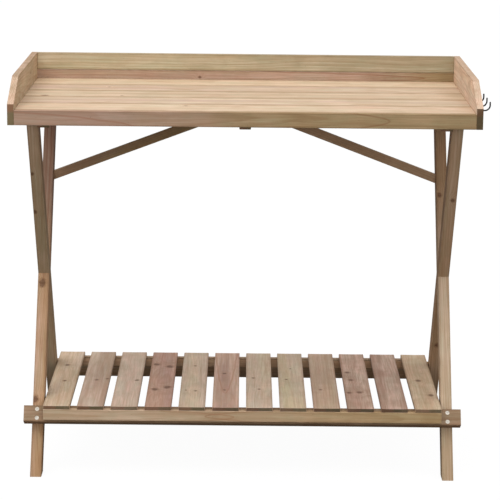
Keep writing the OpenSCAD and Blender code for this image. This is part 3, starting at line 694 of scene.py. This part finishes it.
def board_material(name):
    """Softwood for one board: its own tone, heart, knots and place in the pattern."""
    board = BOARDS[name]
    tones, timber = bpy.context.scene.bench_tones, bpy.context.scene.bench_timber
    seed = SEED_STEP * (1 + list(BOARDS).index(name))
    material, w, shader = new_material(f"{name}_softwood")
    place, facing = board_place(w, name)
    core, bark, push = board_knots(w, board, place)
    late, streaks, fibres, clouds, lines, patches = w.put(
        "ShaderNodeGroup", {"Board": place, "Heart": board.heart, "Spacing": timber.ring,
                            "Wander": WANDER, "Seed": seed, "Push": push},
        node_tree=softwood_grain()).outputs[:]
    sawn, rubbed_and_highlit, soil, narrow = w.put(
        "ShaderNodeGroup", {"Board": place, "Facing": facing,
                            "Half width": board_size(name)[1] / 2,
                            "Reach": JOINT_REACH if name in WORKTOP else ARRIS_REACH},
        node_tree=board_edges()).outputs[:]
    specks, soiled = w.put("ShaderNodeGroup", {"Board": place, "Seed": seed},
                           node_tree=handling_marks()).outputs[:]

    base, streak = drifting_tones_and_shade(w, board, place, clouds)
    ring, grime = w.tint(base, RING_TONE), w.tint(base, GRIME_TONE)
    colour = w.mix(streaks, base, streak)
    # narrow faces get a lighter tone: partly their own pink, partly painted light on the top edges
    if board.rim:
        colour = w.mix(narrow, colour, np.array(getattr(tones, board.rim)) * RIM_PAINTED_LIGHT)
    colour = w.mix(w.span(clouds, 0.38, 0.62, 0.0, DULL_DEPTH), colour,
                   w.tint(base, DULL_TONE))
    colour = w.mix(1.0, colour, w.mix(patches, PINK_CAST, GREEN_CAST), "MULTIPLY")
    colour = w.mix(w.math("MULTIPLY", late, min(timber.ring_depth * board.figure, 1)),
                   colour, ring)
    colour = w.mix(w.math("MULTIPLY", lines, 0.26 + 0.10 * board.figure), colour, ring)
    for tip in board.arches:
        arch = w.put("ShaderNodeGroup", {"Board": place, "Tip": tip},
                     node_tree=grain_arch()).outputs[0]
        colour = w.mix(w.math("MULTIPLY", arch, ARCH_DEPTH), colour, w.tint(base, ARCH_TONE))
    colour = w.mix(w.span(fibres, 0.34, 0.6, FIBRE_DEPTH, 0.0), colour, ring)
    dirt = timber.soil * (JOINT_SOIL if name in WORKTOP else 1)
    colour = w.mix(w.math("MULTIPLY", soil, dirt), colour, grime)
    if core:
        colour = w.mix(w.math("MULTIPLY", bark, BARK_DEPTH), colour, grime)
        colour = w.mix(w.math("MULTIPLY", core, KNOT_DEPTH), colour, np.array(tones.knot))
    colour = w.mix(w.math("MULTIPLY", sawn, w.span(clouds, 0.4, 0.62, 0.95, 0.75)), colour,
                   sawn_wood(w, name, place, clouds))
    # the arrises are lightened: partly worn pale, partly a painted highlight
    colour = w.mix(w.math("MULTIPLY", rubbed_and_highlit, timber.wear_and_highlight), colour, w.tint(base, RUBBED_AND_HIGHLIGHT_TONE))
    colour = w.mix(w.math("MULTIPLY", soiled, SOILED_DEPTH), colour, grime)
    colour = w.mix(w.math("MULTIPLY", specks, SPECK_DEPTH), colour, w.tint(base, SPECK_TONE))
    # each leg grows darker towards its foot
    if name.startswith("leg"):
        foot = w.span(w.math("MULTIPLY_ADD", clouds, 0.10, w.parts(place)[0]),
                      FOOT_FROM, FOOT_TO)
        colour = w.mix(w.math("MULTIPLY", foot, FOOT_DEPTH), colour, w.tint(colour, FOOT_TONE))
    w.give(shader.inputs["Base Color"], colour)
    w.give(shader.inputs["Roughness"],
           w.math("SUBTRACT", w.span(fibres, 0.3, 0.7, 0.80, 0.62),
                  w.math("MULTIPLY", rubbed_and_highlit, 0.10)))
    height = w.math("ADD", w.math("MULTIPLY", late, 0.55), w.math("MULTIPLY", fibres, 0.6))
    height = w.math("SUBTRACT", height, w.math("MULTIPLY", sawn, fibres))
    if core:
        height = w.math("SUBTRACT", height, w.math("MULTIPLY", bark, 0.7))
    bump = w.put("ShaderNodeBump", {"Height": height, "Strength": GRAIN_BUMP,
                                    "Distance": timber.relief})
    w.give(shader.inputs["Normal"], bump.outputs[0])
    shader.inputs["Specular IOR Level"].default_value = WOOD_GLOSS
    return material


# tones of bloomed zinc and of bare steel, as factors of the clean metal
BLOOM_TONE, BARE_TONE = (0.72, 0.73, 0.76), 4.5


def zinc_material():
    """Bright plated steel: fine brushing, and duller grey where the plating has bloomed."""
    fixings = bpy.context.scene.bench_fixings
    material, w, shader = new_material("bright_zinc")
    there = w.put("ShaderNodeTexCoord").outputs["Object"]
    bloom = w.noise(there, 420.0, 4.0, 0.6)
    zinc = np.array(fixings.zinc)
    w.give(shader.inputs["Base Color"], w.mix(w.span(bloom, 0.4, 0.7), zinc,
                                              zinc * BLOOM_TONE))
    w.give(shader.inputs["Roughness"], w.span(bloom, 0.3, 0.75, fixings.zinc_roughness - 0.08,
                                              fixings.zinc_roughness + 0.16))
    bump = w.put("ShaderNodeBump", {"Height": w.noise(there, 1500.0, 2.0), "Strength": 0.25,
                                    "Distance": 0.0002})
    w.give(shader.inputs["Normal"], bump.outputs[0])
    shader.inputs["Metallic"].default_value = 0.75
    return material


def hook_material():
    """Blackened steel, with bare grey metal showing through in small worn spots."""
    fixings = bpy.context.scene.bench_fixings
    material, w, shader = new_material("blackened_steel")
    there = w.put("ShaderNodeTexCoord").outputs["Object"]
    worn = w.span(w.noise(there, 260.0, 4.0, 0.65), 0.57, 0.68)
    steel = np.array(fixings.steel)
    w.give(shader.inputs["Base Color"], w.mix(worn, steel, steel * BARE_TONE))
    w.give(shader.inputs["Metallic"], w.span(worn, 0, 1, 0.55, 0.95))
    w.give(shader.inputs["Roughness"], w.span(w.noise(there, 800.0, 3.0), 0.3, 0.7, 0.30, 0.52))
    bump = w.put("ShaderNodeBump", {"Height": worn, "Strength": 0.3, "Distance": 0.0002})
    w.give(shader.inputs["Normal"], bump.outputs[0])
    return material


def dress(name, material):
    """Gives a CAD piece, whose shape is right, its finished material."""
    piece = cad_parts[name]
    if not piece.material_slots:
        raise RuntimeError(f"{name}: no material slot to fill")
    for slot in piece.material_slots:
        slot.material = material


# ---- operators ----------------------------------------------------------------------

class BENCH_OT_worktop(bpy.types.Operator):
    """Plane the five long worktop boards"""
    bl_idname = "bench.worktop"
    bl_label = "Worktop boards"

    def execute(self, context):
        for name in WORKTOP:
            planed_board(name, context.scene.bench_timber)
        return {"FINISHED"}


class BENCH_OT_tray(bpy.types.Operator):
    """Make the walls of the tray: apron, back boards and side boards"""
    bl_idname = "bench.tray"
    bl_label = "Tray walls"

    def execute(self, context):
        for name in ("front_apron", "back_board_upper"):
            planed_board(name, context.scene.bench_timber)
        for name in ("back_board_lower", "side_board_left", "side_board_right"):
            dress(name, board_material(name))
        return {"FINISHED"}


class BENCH_OT_underframe(bpy.types.Operator):
    """Finish the battens, legs, braces and shelf rails"""
    bl_idname = "bench.underframe"
    bl_label = "Battens, legs, braces and rails"

    def execute(self, context):
        for name in UNDERFRAME:
            dress(name, board_material(name))
        return {"FINISHED"}


class BENCH_OT_shelf(bpy.types.Operator):
    """Plane the shelf slats and finish the strips beneath them"""
    bl_idname = "bench.shelf"
    bl_label = "Shelf slats and strips"

    def execute(self, context):
        for name in SLATS:
            planed_board(name, context.scene.bench_timber)
        for name in ("shelf_strip_front", "shelf_strip_back"):
            dress(name, board_material(name))
        return {"FINISHED"}


class BENCH_OT_fixings(bpy.types.Operator):
    """Finish the screws and the tool hooks"""
    bl_idname = "bench.fixings"
    bl_label = "Screws and hooks"

    def execute(self, context):
        zinc, black = zinc_material(), hook_material()
        for name in SCREWS:
            dress(name, zinc)
        for name in HOOKS:
            dress(name, black)
        return {"FINISHED"}


# the floor's glow, how much of what is seen is that glow, and what it throws back as light
FLOOR_GLOW, GLOW_SHARE, FLOOR_BOUNCE = 1.07, 0.93, (0.16, 0.155, 0.15, 1)
FLOOR_REACH = 45.0
# round soft lamps: name, size across and place in metres; both are turned to LAMP_TARGET
LAMPS = (("key", 2.6, (-1.9, -1.2, 4.2)), ("fill", 2.2, (0.5, -4.3, 1.3)))
LAMP_TARGET = (0, 0, 0.6)


def floor_material(colour):
    """A plain pale floor, bright to the eye, that throws little light up under the bench.

    Its underside is clear, so that the bench can be looked at from below.
    """
    material = bpy.data.materials.new("studio_floor")
    material.use_nodes = True
    material.node_tree.nodes.clear()
    w = Wires(material.node_tree)
    glow = w.put("ShaderNodeEmission", {"Color": (*colour, 1), "Strength": FLOOR_GLOW})
    pale = w.put("ShaderNodeBsdfDiffuse", {"Color": (*colour, 1)})
    seen = w.put("ShaderNodeMixShader", {0: GLOW_SHARE, 1: pale.outputs[0],
                                         2: glow.outputs[0]})
    dull = w.put("ShaderNodeBsdfDiffuse", {"Color": FLOOR_BOUNCE})
    path = w.put("ShaderNodeLightPath")
    both = w.put("ShaderNodeMixShader", {0: path.outputs["Is Camera Ray"],
                                         1: dull.outputs[0], 2: seen.outputs[0]})
    below = w.put("ShaderNodeNewGeometry").outputs["Backfacing"]
    clear = w.put("ShaderNodeBsdfTransparent")
    sided = w.put("ShaderNodeMixShader", {0: below, 1: both.outputs[0], 2: clear.outputs[0]})
    w.put("ShaderNodeOutputMaterial", {"Surface": sided.outputs[0]})
    return material


class BENCH_OT_stage(bpy.types.Operator):
    """Set up the floor, the soft studio light and the camera"""
    bl_idname = "bench.stage"
    bl_label = "Floor, light and camera"

    def execute(self, context):
        scene, stage = context.scene, context.scene.bench_stage
        corners = np.array([[-1, -1, 0], [1, -1, 0], [1, 1, 0], [-1, 1, 0]]) * FLOOR_REACH
        floor = mesh_piece("floor", corners, np.array([[0, 1, 2, 3]]),
                           np.empty((0, 3), int))
        floor.data.materials.append(floor_material(stage.floor))

        world = bpy.data.worlds.new("studio")
        world.use_nodes = True
        world.node_tree.nodes.clear()
        w = Wires(world.node_tree)
        up = w.parts(w.put("ShaderNodeTexCoord").outputs["Generated"])[2]
        strength = w.span(up, 0.0, 1.0, stage.horizon, stage.sky, False)
        dome = w.put("ShaderNodeBackground", {"Color": (1.0, 0.995, 0.985, 1),
                                              "Strength": strength})
        white = w.put("ShaderNodeBackground", {"Color": (1, 1, 1, 1), "Strength": 1.0})
        path = w.put("ShaderNodeLightPath")
        seen = w.put("ShaderNodeMixShader", {0: path.outputs["Is Camera Ray"],
                                             1: dome.outputs[0], 2: white.outputs[0]})
        w.put("ShaderNodeOutputWorld", {"Surface": seen.outputs[0]})
        scene.world = world
        scene.view_settings.view_transform = "Standard"

        for name, size, place in LAMPS:
            light = bpy.data.lights.new(name, "AREA")
            light.shape, light.size, light.energy = "DISK", size, getattr(stage, name)
            lamp = bpy.data.objects.new(name, light)
            lamp.location = place
            lamp.rotation_euler = (Vector(LAMP_TARGET) - lamp.location).to_track_quat(
                "-Z", "Y").to_euler()
            scene.collection.objects.link(lamp)

        lens = bpy.data.cameras.new("camera")
        lens.lens, lens.sensor_width, lens.clip_end = stage.lens, 36, 200
        camera = bpy.data.objects.new("camera", lens)
        sp, cp = math.sin(stage.pitch), math.cos(stage.pitch)
        sy, cy = math.sin(stage.yaw), math.cos(stage.yaw)
        look = Vector((sy * cp, cy * cp, -sp))
        right = Vector((cy, -sy, 0))
        top = right.cross(look)
        sr, cr = math.sin(stage.roll), math.cos(stage.roll)
        axes = Matrix((cr * right + sr * top, cr * top - sr * right, -look)).transposed()
        camera.matrix_world = Matrix.Translation(stage.stand) @ axes.to_4x4()
        scene.collection.objects.link(camera)
        scene.camera = camera
        return {"FINISHED"}


class BENCH_PT_panel(bpy.types.Panel):
    """Everything that makes the bench, in order"""
    bl_label = "Potting bench"
    bl_idname = "BENCH_PT_panel"
    bl_space_type = "VIEW_3D"
    bl_region_type = "UI"
    bl_category = "Bench"

    def draw(self, context):
        for title, settings in (("Tones", context.scene.bench_tones),
                                ("Timber", context.scene.bench_timber),
                                ("Fixings", context.scene.bench_fixings),
                                ("Stage", context.scene.bench_stage)):
            box = self.layout.box()
            box.label(text=title)
            for key in settings.__annotations__:
                box.prop(settings, key)
        for operator in OPERATORS:
            self.layout.operator(operator.bl_idname)


SETTINGS = {"bench_tones": BenchTones, "bench_timber": BenchTimber,
            "bench_fixings": BenchFixings, "bench_stage": BenchStage}
OPERATORS = (BENCH_OT_worktop, BENCH_OT_tray, BENCH_OT_underframe, BENCH_OT_shelf,
             BENCH_OT_fixings, BENCH_OT_stage)


def register():
    for part in (*SETTINGS.values(), *OPERATORS, BENCH_PT_panel):
        bpy.utils.register_class(part)
    for key, part in SETTINGS.items():
        setattr(bpy.types.Scene, key, PointerProperty(type=part))


def unregister():
    for key in SETTINGS:
        delattr(bpy.types.Scene, key)
    for part in reversed((*SETTINGS.values(), *OPERATORS, BENCH_PT_panel)):
        bpy.utils.unregister_class(part)


def main():
    register()
    bpy.ops.bench.worktop()
    bpy.ops.bench.tray()
    bpy.ops.bench.underframe()
    bpy.ops.bench.shelf()
    bpy.ops.bench.fixings()
    bpy.ops.bench.stage()


if __name__ == "__main__":
    main()
